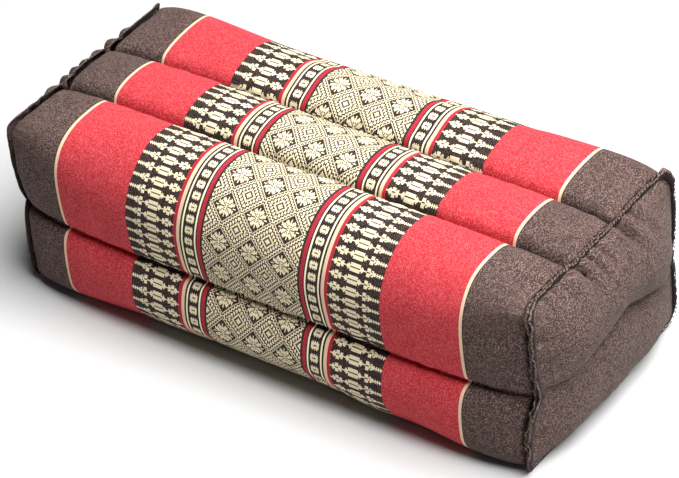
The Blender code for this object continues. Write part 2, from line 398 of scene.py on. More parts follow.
class CoverSettings(bpy.types.PropertyGroup):
    """Sizes of the stuffed, woven cover."""

    pressure: number_property("Stuffing pressure", "How hard the stuffing swells the cloth", 4.0)
    shrink: length_property("Start inside", "How far inside its form the cloth starts", 0.0012)
    cap: length_property("Most swelling", "How far the stuffing may move the cloth", 0.0030)
    crevice_depth: length_property("Crevice depth", "Extra depth right at each channel", 0.0045)
    crevice_width: length_property("Crevice width", "Cloth distance over which it fades", 0.0034)
    pucker_reach: length_property("Pucker reach", "How far puckers run from a channel", 0.0090)
    end_gather: length_property("End gathers", "Height of the gathers at the end seams", 0.0014)
    end_reach: length_property("Gather reach", "How far they run from the end seams", 0.0105)
    lumps: length_property("Lumps", "Unevenness of the stuffing", 0.0007)


class ClothSettings(bpy.types.PropertyGroup):
    """Colours of the yarns and how the weave looks."""

    brown: colour_property("Brown", "Plain ends and end panels", (0.044, 0.025, 0.022, 1.0))
    brown_fleck: colour_property("Brown fleck", "Pale fibres", (0.33, 0.222, 0.19, 1.0))
    red: colour_property("Red", "Twill field", (0.42, 0.020, 0.030, 1.0))
    red_fleck: colour_property("Red fleck", "Pale red fibres", (0.68, 0.12, 0.13, 1.0))
    crimson: colour_property("Crimson", "Thin red lines", (0.36, 0.016, 0.032, 1.0))
    peach: colour_property("Peach", "Border lines", (0.74, 0.52, 0.35, 1.0))
    cream: colour_property("Cream", "Figured yarn", (0.93, 0.85, 0.58, 1.0))
    dark: colour_property("Dark", "Ground of the figured bands", (0.017, 0.010, 0.009, 1.0))
    thread: length_property("Thread", "Distance between two threads", 0.00038)
    relief: length_property("Relief", "Height of the threads", 0.00012)


class PanelSettings(bpy.types.PropertyGroup):
    """Sizes of the end panels."""

    thickness: length_property("Thickness", "Thickness of the cloth", 0.0012)
    upper_bulge: length_property("Upper bulge", "How far the lobe above is blown out", 0.0205)
    upper_reach: length_property("Upper reach", "How far its round edge runs down", 0.0465)
    lower_bulge: length_property("Lower bulge", "How far the lobe below is blown out", 0.0135)
    lower_reach: length_property("Lower reach", "How far its round edge runs up", 0.0260)
    side_reach: length_property("Side reach", "How far the round edge runs inwards", 0.0470)
    crease_level: length_property("Crease level", "Where a crease without depth would lie", 0.0130)
    upper_return: number_property("Upper return", "Share of bulge lost down at the crease", 0.26)
    lower_return: number_property("Lower return", "Share of bulge lost up at the crease", 0.42)
    return_reach: length_property("Return reach", "How far from the crease it is lost", 0.0200)
    upper_fade: length_property("Upper edge", "How sharply a crease starts above", 0.0012)
    fade_share: number_property("Upper softness", "How much a deep crease softens it", 0.13)
    lower_fade: length_property("Lower edge", "How softly it fades below", 0.0012)
    lower_share: number_property("Lower softness", "How much a deep crease softens it", 0.28)
    overhang: length_property("Overhang", "How far the upper lobe hangs over", 0.0080)
    gather: length_property("Gathers", "Height of the gathers at the seam", 0.0007)


class SeamSettings(bpy.types.PropertyGroup):
    """Sizes of the raised end seams and of the stitches."""

    height: length_property("Height", "How far the seam stands proud", 0.0018)
    width: length_property("Width", "Width over both edges", 0.0022)
    start: length_property("Start", "How far from the cover's edge it starts", 0.0006)
    left_share: number_property("Left share", "Size of the left seam against the right", 0.30)
    pinch: length_property("Pinch", "How far the cloth is drawn in beside it", 0.0011)
    underside: number_property("Underside", "Share of its size that it keeps below", 0.45)
    pitch: length_property("Overlock pitch", "Distance between overlock stitches", 0.0026)
    thread: length_property("Thread", "Thickness of the sewing thread", 0.00042)
    colour: colour_property("Seam cloth", "Raw edges", (0.055, 0.034, 0.029, 1.0))
    # Painted shade: this dark colour stands in for the shadow in the folds beside and between the
    # raw edges
    fold_shade_colour: colour_property("Folds", "Beside the raw edges", (0.012, 0.007, 0.006, 1.0))
    thread_colour: colour_property("Sewing thread", "Thread", (0.022, 0.014, 0.012, 1.0))


class StageSettings(bpy.types.PropertyGroup):
    """The floor, the lights and the camera."""

    floor: colour_property("Floor", "Pale floor", (0.56, 0.56, 0.56, 1.0))
    key_power: number_property("Key light", "Watts of the soft light above", 72.0)
    fill_power: number_property("Fill light", "Watts of the soft light at the right", 2.5)
    surround: number_property("Surround", "Strength of the light all round", 0.05)
    lens: number_property("Lens", "Focal length in millimetres on a 36 mm frame", 168.147)


def scene_settings(name):
    """The settings of one group of pieces, as the panel shows them."""
    return getattr(bpy.context.scene, "cushion_" + name)


class Nodes:
    """Adds nodes to one shader tree and joins them."""

    def __init__(self, tree):
        self.tree = tree

    def add(self, kind, **values):
        node = self.tree.nodes.new(kind)
        for name, value in values.items():
            setattr(node, name, value)
        return node

    def feed(self, socket, value):
        """Join an output to a socket, or set the socket to a plain value."""
        if isinstance(value, bpy.types.NodeSocket):
            self.tree.links.new(value, socket)
        else:
            socket.default_value = value

    def math(self, operation, *values):
        node = self.add("ShaderNodeMath", operation=operation)
        for socket, value in zip(node.inputs, values):
            self.feed(socket, value)
        return node.outputs[0]

    def mix(self, share, first, second):
        node = self.add("ShaderNodeMix", data_type="RGBA")
        self.feed(node.inputs["Factor"], share)
        self.feed(node.inputs["A"], first)
        self.feed(node.inputs["B"], second)
        return node.outputs["Result"]

    def between(self, value, lower, upper):
        """1 where value lies from lower to upper."""
        above = self.math("GREATER_THAN", value, lower)
        below = self.math("LESS_THAN", value, upper)
        return self.math("MULTIPLY", above, below)

    def group(self, tree, **values):
        node = self.add("ShaderNodeGroup", node_tree=tree)
        for name, value in values.items():
            self.feed(node.inputs[name.replace("_", " ")], value)
        return node.outputs


def new_group(name, inputs, outputs):
    """A shader node group with named sockets; gives its tree, its inputs and its output node."""
    tree = bpy.data.node_groups.new(name, "ShaderNodeTree")
    for socket, kind in inputs.items():
        tree.interface.new_socket(socket, in_out="INPUT", socket_type=kind)
    for socket, kind in outputs.items():
        tree.interface.new_socket(socket, in_out="OUTPUT", socket_type=kind)
    nodes = Nodes(tree)
    given = nodes.add("NodeGroupInput").outputs
    result = nodes.add("NodeGroupOutput").inputs
    return tree, nodes, given, result


def chart_group(name, chart):
    """A group that says whether a weaving chart has a cream thread at a column and row.

    Each row's marks are packed into one number, and a column's mark is one of its bits.
    """
    numbers = {"Column": "NodeSocketFloat", "Row": "NodeSocketFloat"}
    tree, nodes, given, result = new_group(name, numbers, {"Cream": "NodeSocketFloat"})
    row_bits = 0.0
    for index, row in enumerate(chart):
        bits = sum(2 ** column for column, mark in enumerate(row) if mark == "#")
        here = nodes.math("COMPARE", given["Row"], float(index), 0.25)
        row_bits = nodes.math("MULTIPLY_ADD", here, float(bits), row_bits)
    power = nodes.math("ROUND", nodes.math("POWER", 2.0, given["Column"]))
    bit = nodes.math("MODULO", nodes.math("FLOOR", nodes.math("DIVIDE", row_bits, power)), 2.0)
    inside = nodes.between(given["Column"], -0.5, len(chart[0]) - 0.5)
    nodes.feed(result["Cream"], nodes.math("MULTIPLY", bit, inside))
    return tree


def grain_group():
    """Threads of plain or twill cloth: random flecks, soft blotches and the threads' relief."""
    inputs = {"Cloth": "NodeSocketVector", "Thread": "NodeSocketFloat"}
    outputs = {"Fleck": "NodeSocketFloat", "Blotch": "NodeSocketFloat", "Relief": "NodeSocketFloat"}
    tree, nodes, given, result = new_group("cloth_grain", inputs, outputs)
    scaled = nodes.add("ShaderNodeVectorMath", operation="SCALE")
    nodes.feed(scaled.inputs["Vector"], given["Cloth"])
    nodes.feed(scaled.inputs["Scale"], nodes.math("DIVIDE", 1.0, given["Thread"]))
    threads = scaled.outputs["Vector"]
    axes = nodes.add("ShaderNodeSeparateXYZ")
    nodes.feed(axes.inputs[0], threads)
    cell = nodes.add("ShaderNodeVectorMath", operation="FLOOR")
    nodes.feed(cell.inputs[0], threads)
    random = nodes.add("ShaderNodeTexWhiteNoise", noise_dimensions="3D")
    nodes.feed(random.inputs["Vector"], cell.outputs["Vector"])
    slub = nodes.add("ShaderNodeTexNoise", noise_dimensions="3D")
    nodes.feed(slub.inputs["Vector"], threads)
    slub.inputs["Scale"].default_value = SLUB_SCALE
    slub.inputs["Detail"].default_value = 2.0
    fleck = nodes.math("MULTIPLY_ADD", random.outputs["Value"], RANDOM_SHARE,
                       nodes.math("MULTIPLY", slub.outputs["Fac"], SLUB_SHARE))
    blotch = nodes.add("ShaderNodeTexNoise", noise_dimensions="3D")
    nodes.feed(blotch.inputs["Vector"], threads)
    blotch.inputs["Scale"].default_value = BLOTCH_SCALE
    blotch.inputs["Detail"].default_value = 3.0
    twill = nodes.math("ADD", axes.outputs["X"], axes.outputs["Y"])
    rib = nodes.math("MULTIPLY_ADD", nodes.math("SINE", nodes.math("MULTIPLY", twill, math.pi)),
                     0.5, 0.5)
    nodes.feed(result["Fleck"], fleck)
    nodes.feed(result["Blotch"], blotch.outputs["Fac"])
    nodes.feed(result["Relief"], nodes.math("MULTIPLY_ADD", rib, RIB_SHARE,
                                            nodes.math("MULTIPLY", fleck, 1.0 - RIB_SHARE)))
    return tree


def figured_group():
    """How much cream yarn the figured bands show: the lattice, flower strip and columns, with the
    floats' edges faded partly by painted shade.
    """
    inputs = {"Across": "NodeSocketFloat", "Around": "NodeSocketFloat"}
    tree, nodes, given, result = new_group("figured_bands", inputs, {"Cream": "NodeSocketFloat"})
    threads = len(LATTICE_CHART) - 1
    across = given["Across"]
    around = given["Around"]

    def folded(value, repeat, shift, count):
        """A place's distance from the middle of its motif, in threads."""
        moved = nodes.math("MULTIPLY", nodes.math("SUBTRACT", value, shift), 2 * count / repeat)
        return nodes.math("PINGPONG", moved, float(count))

    def rounded(cream, column):
        """Cream floats that fade to the dark ground towards their two edges, which lie between two
        columns: partly the ground between threads, partly painted shade where each float rounds
        away.
        """
        off_centre = nodes.math("PINGPONG", column, 0.5)
        beyond = nodes.math("SUBTRACT", off_centre, FLOAT_FLAT)
        edge = nodes.math("SMOOTH_MAX", beyond, 0.0, FLOAT_ROUNDING)
        shade = nodes.math("MULTIPLY_ADD", edge, FLOAT_EDGE_GAP_AND_SHADE, 1.0)
        return nodes.math("MULTIPLY", cream, shade)

    column = folded(across, LATTICE_REPEAT_U, 0.0, threads)
    lattice_row = nodes.math("ROUND", folded(around, LATTICE_REPEAT_V, ROSETTE_V, threads))
    lattice = nodes.group(chart_group("lattice_chart", LATTICE_CHART),
                          Column=nodes.math("ROUND", column), Row=lattice_row)["Cream"]
    lattice = nodes.math("MULTIPLY", lattice, nodes.math("LESS_THAN", across, LATTICE_EDGE))
    cream = rounded(lattice, column)
    row = nodes.math("ROUND", folded(around, ROW_PITCH, 0.0, ROW_THREADS // 2))
    thread = ROW_PITCH / ROW_THREADS
    from_flower = nodes.math("ABSOLUTE", nodes.math("SUBTRACT", across, STRIP_FLOWER_U))
    column = nodes.math("DIVIDE", from_flower, thread)
    flower = nodes.group(chart_group("strip_flower_chart", STRIP_FLOWER_CHART),
                         Column=nodes.math("ROUND", column), Row=row)["Cream"]
    cream = nodes.math("MAXIMUM", cream, rounded(flower, column))
    for motif in COLUMN_MOTIFS:
        from_start = nodes.math("SUBTRACT", across, motif.start + thread / 2)
        column = nodes.math("DIVIDE", from_start, thread)
        motif_cream = nodes.group(chart_group(motif.name + "_chart", motif.chart),
                                  Column=nodes.math("ROUND", column), Row=row)["Cream"]
        cream = nodes.math("MAXIMUM", cream, rounded(motif_cream, column))
    nodes.feed(result["Cream"], cream)
    return tree


def shared_group(name, make):
    """The node group of that name, made the first time that it is asked for."""
    return bpy.data.node_groups.get(name) or make()


def cloth_shader(name, roughness):
    """A new material, with its nodes and its Principled shader."""
    material = bpy.data.materials.new(name)
    material.use_nodes = True
    shader = material.node_tree.nodes["Principled BSDF"]
    shader.inputs["Roughness"].default_value = roughness
    shader.inputs["Sheen Weight"].default_value = SHEEN
    shader.inputs["Sheen Roughness"].default_value = 0.6
    shader.inputs["Specular IOR Level"].default_value = 0.15
    return material, Nodes(material.node_tree), shader


def add_bump(nodes, shader, height, distance):
    """Raise the cloth's threads in its normal, over their real height."""
    bump = nodes.add("ShaderNodeBump")
    bump.inputs["Strength"].default_value = BUMP_STRENGTH
    bump.inputs["Distance"].default_value = distance
    nodes.feed(bump.inputs["Height"], height)
    nodes.feed(shader.inputs["Normal"], bump.outputs["Normal"])


def flecked(nodes, base, fleck_colour, grain, threshold, share):
    """A yarn's colour with pale fibres showing where the grain is above a threshold."""
    ramp = nodes.add("ShaderNodeMapRange", interpolation_type="SMOOTHSTEP")
    nodes.feed(ramp.inputs["Value"], grain["Fleck"])
    ramp.inputs["From Min"].default_value = threshold - FLECK_SOFTNESS
    ramp.inputs["From Max"].default_value = threshold + FLECK_SOFTNESS
    ramp.inputs["To Max"].default_value = share
    return nodes.mix(ramp.outputs["Result"], base, fleck_colour)


def shaded(nodes, colour, shade):
    """A colour made lighter or darker by a value that changes over the surface."""
    worn = nodes.add("ShaderNodeMix", data_type="RGBA", blend_type="MULTIPLY")
    worn.inputs["Factor"].default_value = 1.0
    nodes.feed(worn.inputs["A"], colour)
    nodes.feed(worn.inputs["B"], shade)
    return worn.outputs["Result"]


def cloth_map(nodes):
    """The place on the piece's own flat cloth."""
    return nodes.add("ShaderNodeUVMap", uv_map="cloth").outputs["UV"]


def grain_of(nodes, place):
    """The outputs of the cloth's grain at a place on it."""
    thread = scene_settings("cloth").thread
    return nodes.group(shared_group("cloth_grain", grain_group), Cloth=place, Thread=thread)


def woven_material():
    """The cover's cloth: plain brown ends, red twill fields and figured bands."""
    cloth = scene_settings("cloth")
    material, nodes, shader = cloth_shader("woven_cloth", roughness=0.82)
    place = cloth_map(nodes)
    axes = nodes.add("ShaderNodeSeparateXYZ")
    nodes.feed(axes.inputs[0], place)
    across = nodes.math("ABSOLUTE", axes.outputs["X"])
    grain = grain_of(nodes, place)
    cream_mask = nodes.group(shared_group("figured_bands", figured_group),
                             Across=across, Around=axes.outputs["Y"])["Cream"]
    colours = {
        "brown": flecked(nodes, cloth.brown, cloth.brown_fleck, grain, threshold=0.70, share=0.62),
        "red": flecked(nodes, cloth.red, cloth.red_fleck, grain, threshold=0.66, share=0.80),
        "crimson": flecked(nodes, cloth.crimson, cloth.red_fleck, grain, threshold=0.70, share=0.20),
        "dark": flecked(nodes, cloth.dark, cloth.brown_fleck, grain, threshold=0.70, share=0.22),
        "peach": cloth.peach,
        "cream": cloth.cream,
    }
    colour = colours["brown"]
    for stripe in STRIPES[:-1]:
        here = nodes.between(across, stripe.inner, stripe.outer)
        colour = nodes.mix(here, colour, colours[stripe.colour])
    peach_share = nodes.math("MULTIPLY", grain["Fleck"], FLOAT_PEACH)
    yarn = nodes.mix(peach_share, cloth.cream, cloth.peach)
    # At the floats' faded edges the dark ground shows through, partly as painted shade
    colour = nodes.mix(cream_mask, colour, yarn)
    shade = nodes.math("MULTIPLY_ADD", grain["Blotch"], BLOTCH_STRENGTH, BLOTCH_DARKEST)
    nodes.feed(shader.inputs["Base Color"], shaded(nodes, colour, shade))
    height = nodes.math("MULTIPLY_ADD", cream_mask, FLOAT_HEIGHT, grain["Relief"])
    add_bump(nodes, shader, height, cloth.relief)
    return material


def panel_material():
    """The end panels' plain brown cloth with a fine pale grain."""
    cloth = scene_settings("cloth")
    material, nodes, shader = cloth_shader("plain_cloth", roughness=0.84)
    grain = grain_of(nodes, cloth_map(nodes))
    base = flecked(nodes, cloth.brown, cloth.brown_fleck, grain, threshold=0.70, share=0.62)
    nodes.feed(shader.inputs["Base Color"], base)
    add_bump(nodes, shader, grain["Relief"], cloth.relief)
    return material


def seam_material():
    """The raw edges' cloth, with shade painted dark into the folds between and beside the two edges.
    """
    seam = scene_settings("seam")
    cloth = scene_settings("cloth")
    material, nodes, shader = cloth_shader("seam_cloth", roughness=0.84)
    place = cloth_map(nodes)
    axes = nodes.add("ShaderNodeSeparateXYZ")
    nodes.feed(axes.inputs[0], place)
    grain = grain_of(nodes, place)
    raised = flecked(nodes, seam.colour, cloth.brown_fleck, grain, threshold=0.50, share=0.60)
    step = nodes.math("DIVIDE", axes.outputs["Y"], SEAM_UV_STEP)
    first = nodes.between(step, *FIRST_EDGE_STEPS)
    second = nodes.between(step, *SECOND_EDGE_STEPS)
    # The steps outside the raised ones take the painted fold shade
    colour = nodes.mix(nodes.math("ADD", first, second), seam.fold_shade_colour, raised)
    nodes.feed(shader.inputs["Base Color"], colour)
    add_bump(nodes, shader, grain["Relief"], cloth.relief)
    return material


def thread_material():
    """Twisted sewing thread."""
    seam = scene_settings("seam")
    material, nodes, shader = cloth_shader("sewing_thread", roughness=0.7)
    place = nodes.add("ShaderNodeTexCoord")
    strands = nodes.add("ShaderNodeTexNoise")
    nodes.feed(strands.inputs["Vector"], place.outputs["Object"])
    strands.inputs["Scale"].default_value = STRAND_SCALE
    shade = nodes.math("MULTIPLY_ADD", strands.outputs["Fac"], STRAND_CONTRAST, STRAND_DARKEST)
    nodes.feed(shader.inputs["Base Color"], shaded(nodes, seam.thread_colour, shade))
    return material


def mix(first, second, share):
    """A value between two others; share is 0 at the first and 1 at the second."""
    return first + (second - first) * share


def section(x, detail=1):
    """The closed outline at x: an array of points, with detail times the outline's steps."""
    along = min(abs(x) / HALF, 1.0)
    turned = 1.0 - (1.0 - along ** DRAW_POWER) ** DRAW_ROOT
    bowed = math.copysign(along ** BOW_POWER, x)
    places = [(mix(s.mid_y, s.end_y, turned), mix(s.mid_z, s.end_z, turned)) for s in OUTLINE]
    points = []
    for index, station in enumerate(OUTLINE):
        after = (index + 1) % len(OUTLINE)
        power = mix(station.mid_power, station.end_power, turned)
        share = np.arange(station.steps * detail) / (station.steps * detail)
        if station.name in CHANNEL_PUCKERS:
            share = share ** CHANNEL_CROWDING
        elif OUTLINE[after].name in CHANNEL_PUCKERS:
            share = 1.0 - (1.0 - share) ** CHANNEL_CROWDING
        going = np.sin(share * math.pi / 2) ** (2 / power)
        coming = 1.0 - np.cos(share * math.pi / 2) ** (2 / power)
        level_start = index % 2 == 1
        share_y, share_z = (going, coming) if level_start else (coming, going)
        ease = (1.0 - np.cos(math.pi * share)) / 2
        bow = mix(station.end_x, OUTLINE[after].end_x, ease) * bowed
        y = mix(places[index][0], places[after][0], share_y)
        z = mix(places[index][1], places[after][1], share_z)
        points.append(np.stack([x + bow, y, np.maximum(z, 0.0)], axis=1))
    return np.concatenate(points)


def cloth_places():
    """V of each of the outline's points, and of the cloth's end after the last one."""
    middle = section(0.0)
    steps = np.linalg.norm(np.roll(middle, -1, axis=0) - middle, axis=1)
    places = []
    start = 0
    for index, station in enumerate(OUTLINE):
        end_v = OUTLINE[index + 1].cloth if index + 1 < len(OUTLINE) else CLOTH_END
        arc = steps[start:start + station.steps]
        before = np.concatenate([[0.0], np.cumsum(arc)[:-1]])
        places.append(station.cloth + (end_v - station.cloth) * before / arc.sum())
        start += station.steps
    return np.append(np.concatenate(places), CLOTH_END)


def ripple(wave, along, around, number=0):
    """Smooth random value from about -1 to 1 at a place on the cloth, one set for each number."""
    return noise.noise(Vector((along / wave.along, around / wave.around, wave.seed + number)))


def seam_ripple(waves, distance, edge, side):
    """Random waves of a seam, added up, at a distance along it and for one of its edges."""
    return sum(wave.size * noise.noise(Vector((distance / wave.length, wave.apart * edge,
                                               wave.seed + side))) for wave in waves)


def grid_normals(points):
    """Outward unit normals of rings of points, rings along X."""
    along = np.gradient(points, axis=0)
    around = (np.roll(points, -1, axis=1) - np.roll(points, 1, axis=1)) / 2
    normals = np.cross(around, along)
    normals /= np.maximum(np.linalg.norm(normals, axis=2, keepdims=True), 1e-12)
    middle = np.array([0.0, 0.0, PANEL_MIDDLE_Z])
    if np.sum(normals * (points - middle)) < 0:
        normals = -normals
    return normals


def cover_relief(positions, places):
    """How far the cloth stands out from its plain form: puckers, gathers and lumps."""
    cover = scene_settings("cover")
    pinch = scene_settings("seam").pinch
    girth = CLOTH_END - OUTLINE[0].cloth
    relief = np.zeros((len(positions), AROUND))
    lengthways = {s.name: s.cloth for s in OUTLINE if s.name in CHANNEL_PUCKERS}
    for ring, x in enumerate(positions):
        from_end = HALF - abs(x)
        for column in range(AROUND):
            v = places[column]
            total = cover.lumps * ripple(LUMP_WAVE, x, v)
            gather = ripple(GATHER_WAVE, x, v)
            gather += FINE_WAVE_SHARE * ripple(FINE_GATHER_WAVE, x, v)
            total += cover.end_gather * gather * math.exp(-from_end / cover.end_reach)
            total -= pinch * math.exp(-from_end / PINCH_REACH)
            for number, (name, channel) in enumerate(lengthways.items()):
                away = abs(v - channel)
                away = min(away, girth - away)
                if away > PUCKER_LIMIT:
                    continue
                crumple = 1.0
                if name == "channel_front":
                    crumple += CRUMPLE_EXTRA * math.exp(-((x - CRUMPLE_X) / CRUMPLE_REACH) ** 2)
                wave = ripple(PUCKER_WAVE, x, v, number)
                wave += FINE_WAVE_SHARE * ripple(FINE_PUCKER_WAVE, x, v, number)
                fade = math.exp(-away / cover.pucker_reach)
                fade *= 1.0 - math.exp(-away / PUCKER_START)
                total += CHANNEL_PUCKERS[name] * crumple * wave * fade
            relief[ring, column] = total
    return relief


def channel_crevices(positions, places):
    """How far each channel pulls the cloth straight into the stuffing, as vectors."""
    cover = scene_settings("cover")
    girth = CLOTH_END - OUTLINE[0].cloth
    pulls = np.zeros((len(positions), AROUND, 3))
    for station in OUTLINE:
        if station.name not in CHANNEL_PUCKERS:
            continue
        away = np.abs(places[:-1] - station.cloth)
        away = np.minimum(away, girth - away)
        share = np.exp(-(away / cover.crevice_width) ** CREVICE_POWER)
        depth = cover.crevice_depth * np.ones(len(positions))
        if abs(station.mid_y) > CHANNEL_ON_SIDE:
            depth *= SIDE_CREVICE_SHARE
        inward = channel_inward(station)
        pulls += depth[:, None, None] * share[None, :, None] * inward
    return pulls


def channel_inward(station):
    """The direction from a channel straight into the stuffing."""
    if abs(station.mid_y) > CHANNEL_ON_SIDE:
        return np.array([0.0, -math.copysign(1.0, station.mid_y), 0.0])
    return np.array([0.0, 0.0, math.copysign(1.0, PANEL_MIDDLE_Z - station.mid_z)])


def end_edges(side, detail_up, detail_across):
    """The end seam's outline as the four edges of the end panel's grid, closer at their ends."""
    loop = section(side * HALF, FINE_DETAIL)
    corner_places = ((-1, -1), (1, -1), (1, 1), (-1, 1))
    middle = np.array([0.0, PANEL_MIDDLE_Z])
    corners = []
    for toward_y, toward_z in corner_places:
        score = (loop[:, 1:] - middle) @ np.array([toward_y, toward_z * CORNER_TALLNESS])
        corners.append(int(np.argmax(score)))
    front_low, back_low, back_top, front_top = corners

    def run(start, end, count):
        """Crowded points along the outline from one of its points to another."""
        total = len(loop)
        picked = [(start + k) % total for k in range((end - start) % total + 1)]
        path = loop[picked]
        lengths = np.concatenate([[0.0], np.cumsum(np.linalg.norm(np.diff(path, axis=0), axis=1))])
        wanted = lengths[-1] * crowded(count)
        return np.stack([np.interp(wanted, lengths, path[:, axis]) for axis in range(3)], axis=1)

    # The outline runs from the underside round the back, over the top and down the front
    back = run(back_low, back_top, detail_up)
    top = run(back_top, front_top, detail_across)[::-1]
    front = run(front_top, front_low, detail_up)[::-1]
    bottom = run(front_low, back_low, detail_across)
    return front, bottom, back, top


def lobe_rise(distance, reach, power):
    """Share of the full bulge at a distance from a seam, steeper at the seam for a high power."""
    inward = np.clip(distance / reach, 0.0, 1.0)
    return 1.0 - (1.0 - inward) ** power


def crowded(count):
    """Shares from 0 to 1 that lie closer together at both ends."""
    even = np.linspace(0.0, 1.0, count + 1)
    return mix(even, (1.0 - np.cos(math.pi * even)) / 2, PANEL_CROWDING)


def fold_rise(fold, y, z):
    """Height of one soft fold at points of the panel."""
    run_y = fold.to_y - fold.from_y
    run_z = fold.to_z - fold.from_z
    length = math.hypot(run_y, run_z)
    share = ((y - fold.from_y) * run_y + (z - fold.from_z) * run_z) / length ** 2
    nearest = np.clip(share, 0.0, 1.0)
    away = np.hypot(y - fold.from_y - nearest * run_y, z - fold.from_z - nearest * run_z)
    fade = 1.0 - nearest ** FOLD_FADE_POWER
    return fold.height * fade * np.exp(-(away / fold.width) ** 2)


def end_surface(side, detail_up, detail_across):
    """The end of the stuffing as a grid of points: blown out, creased and gathered."""
    panel = scene_settings("panel")
    front, bottom, back, top = end_edges(side, detail_up, detail_across)
    u = crowded(detail_across)[None, :, None]
    v = crowded(detail_up)[:, None, None]
    upwards = mix(bottom[None], top[None], v)
    across = mix(front[:, None], back[:, None], u)
    corners = mix(mix(bottom[0], bottom[-1], u), mix(top[0], top[-1], u), v)
    grid = upwards + across - corners
    y = grid[..., 1]
    z = grid[..., 2]
    from_side = np.minimum(y - front[:, 1][:, None], back[:, 1][:, None] - y)
    from_top = top[:, 2][None, :] - z
    from_bottom = z - bottom[:, 2][None, :]
    edge_distance = np.minimum(from_side, np.minimum(from_top, from_bottom))
    crease_y = [c.y for c in CREASE]
    level = smooth_interp(y, crease_y, [c.z for c in CREASE])
    depth = smooth_interp(y, crease_y, [c.depth for c in CREASE])
    above = z - level
    valley = panel.crease_level - depth
    upper_reach = panel.upper_reach * (1.0 if side > 0 else LEFT_TOP_STRETCH)
    upper = panel.upper_bulge * lobe_rise(from_top, upper_reach, UPPER_POWER)
    lower = panel.lower_bulge * lobe_rise(from_bottom, panel.lower_reach, LOWER_POWER)
    near = np.exp(-(above / panel.return_reach) ** 2)
    upper *= 1.0 - panel.upper_return * near
    lower *= 1.0 - panel.lower_return * near
    upper_fade = panel.upper_fade + panel.fade_share * depth
    lower_fade = panel.lower_fade + panel.lower_share * depth
    out = np.where(above > 0, mix(upper, valley, np.exp(-np.maximum(above, 0) / upper_fade)),
                   mix(lower, valley, np.exp(np.minimum(above, 0) / lower_fade)))
    rise = lobe_rise(from_side, panel.side_reach, UPPER_POWER if side > 0 else LEFT_SIDE_POWER)
    out *= lobe_rise(np.minimum(from_top, from_bottom), PANEL_RIM, UPPER_POWER)
    gather = panel.gather * (1.0 if side > 0 else LEFT_GATHER_SHARE)
    hanging = np.where(above > 0, np.exp(-(above / OVERHANG_ABOVE) ** 2),
                       np.exp(above / OVERHANG_BELOW))
    hanging *= panel.overhang * np.clip(depth / OVERHANG_FULL_DEPTH, 0.0, 1.0) ** 2
    for row in range(grid.shape[0]):
        for column in range(grid.shape[1]):
            inwards = edge_distance[row, column]
            upright = from_side[row, column] > inwards
            run = y[row, column] if upright else z[row, column]
            fan = ripple(PANEL_GATHER_WAVE, run, inwards, side)
            fan *= math.exp(-inwards / PANEL_GATHER_REACH)
            lump = ripple(PANEL_LUMP_WAVE, y[row, column], z[row, column], side)
            out[row, column] += gather * (PANEL_GATHER_SHARE * fan + lump)
    grid[..., 0] += side * rise * out
    grid[..., 2] -= rise * hanging
    folds = sum(fold_rise(fold, y, z) for fold in PANEL_FOLDS) * PANEL_FOLD_SHARE
    folds *= lobe_rise(edge_distance, PANEL_RIM, UPPER_POWER)
    normals = outward_normals(grid, side)
    grid += normals * folds[..., None]
    return grid


def outward_normals(grid, side):
    """Unit normals of an end panel's grid, pointing out of the cushion."""
    normals = np.cross(np.gradient(grid, axis=1), np.gradient(grid, axis=0))
    return normals * side / np.linalg.norm(normals, axis=2, keepdims=True)


def flat_places(grid):
    """The panel's points on the flat cloth, measured along the bulging surface."""
    across = np.linalg.norm(np.diff(grid, axis=1, prepend=grid[:, :1]), axis=2).cumsum(axis=1)
    upwards = np.linalg.norm(np.diff(grid, axis=0, prepend=grid[:1]), axis=2).cumsum(axis=0)
    across -= across[:, grid.shape[1] // 2, None]
    upwards -= upwards[None, grid.shape[0] // 2]
    return np.stack([across, upwards], axis=2)


def smooth_interp(at, places, values):
    """Values between given places, joined without kinks."""
    at = np.asarray(at)
    index = np.clip(np.searchsorted(places, at) - 1, 0, len(places) - 2)
    places = np.asarray(places)
    values = np.asarray(values)
    share = np.clip((at - places[index]) / (places[index + 1] - places[index]), 0.0, 1.0)
    slopes = np.gradient(values, places)
    span = places[index + 1] - places[index]
    h00 = 2 * share ** 3 - 3 * share ** 2 + 1
    h10 = share ** 3 - 2 * share ** 2 + share
    h01 = -2 * share ** 3 + 3 * share ** 2
    h11 = share ** 3 - share ** 2
    return (h00 * values[index] + h10 * span * slopes[index]
            + h01 * values[index + 1] + h11 * span * slopes[index + 1])


def mesh_object(name, vertices, faces, corner_places, material):
    """An object at the origin with a mesh, its cloth map and smooth shading, faces outwards."""
    mesh = bpy.data.meshes.new(name)
    mesh.from_pydata([tuple(v) for v in vertices], [], faces)
    layer = mesh.uv_layers.new(name="cloth")
    layer.uv.foreach_set("vector", np.asarray(corner_places, dtype=np.float32).ravel())
    shape = bmesh.new()
    shape.from_mesh(mesh)
    bmesh.ops.recalc_face_normals(shape, faces=shape.faces)
    shape.to_mesh(mesh)
    shape.free()
    mesh.materials.append(material)
    mesh.shade_smooth()
    thing = bpy.data.objects.new(name, mesh)
    bpy.context.scene.collection.objects.link(thing)
    return thing


def coordinates(mesh):
    """All the vertices' places, as an array."""
    points = np.zeros(len(mesh.vertices) * 3, dtype=np.float32)
    mesh.vertices.foreach_get("co", points)
    return points.reshape(-1, 3).astype(float)


def set_coordinates(mesh, points):
    """Move all the vertices to the places in an array."""
    mesh.vertices.foreach_set("co", points.astype(np.float32).ravel())
    mesh.update()


